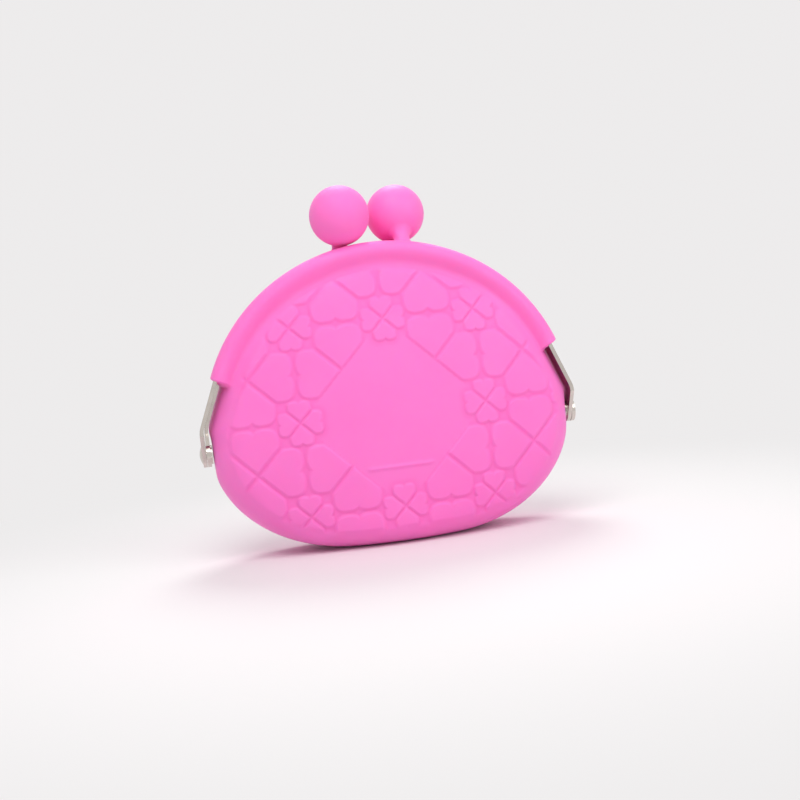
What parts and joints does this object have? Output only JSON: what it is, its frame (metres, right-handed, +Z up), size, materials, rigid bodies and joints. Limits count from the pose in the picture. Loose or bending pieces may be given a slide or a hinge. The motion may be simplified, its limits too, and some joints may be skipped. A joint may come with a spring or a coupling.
{
  "type": "squeeze coin purse",
  "caption": "Soft silicone kiss-lock coin purse with a rounded pouch, a hinged metal mouth frame and crossing ball clasps that swing open and snap shut.",
  "frame": {"origin": "centre of the bounding box at the flat underside the purse stands on", "axes": "+X right along the hinge axis, +Y from the front wall to the back wall, +Z up to the clasp balls"},
  "size_m": [0.102, 0.0282, 0.0938],
  "materials": {
    "silicone": "matte",
    "frame_steel": "polished",
    "core_plastic": "matte"
  },
  "bodies": {
    "pouch": {"pouch_bowl": "silicone", "front_fold": "silicone", "back_fold": "silicone"},
    "front_half": {"front_wall": "silicone", "front_rim_bead": "silicone", "front_frame_bar": "frame_steel", "front_clasp_post": "frame_steel", "front_clasp_core": "core_plastic", "front_ball_cover": "silicone", "left_hinge_rivet": "frame_steel"},
    "back_half": {"back_wall": "silicone", "back_rim_bead": "silicone", "back_frame_bar": "frame_steel", "back_clasp_post": "frame_steel", "back_clasp_core": "core_plastic", "back_ball_cover": "silicone", "right_hinge_rivet": "frame_steel"}
  },
  "joints": [
    {"name": "front_mouth_hinge", "type": "hinge", "parent": "pouch", "child": "front_half", "pos_m": [0, 0, 0.0283], "axis": [1, 0, 0], "range_deg": [0, 45], "deforming": ["front_fold"]},
    {"name": "back_mouth_hinge", "type": "hinge", "parent": "pouch", "child": "back_half", "pos_m": [0, 0, 0.0283], "axis": [-1, 0, 0], "range_deg": [0, 45], "deforming": ["back_fold"]}
  ],
  "couplings": [
    {"joint": "back_mouth_hinge", "follows": "front_mouth_hinge", "ratio": 1}
  ]
}
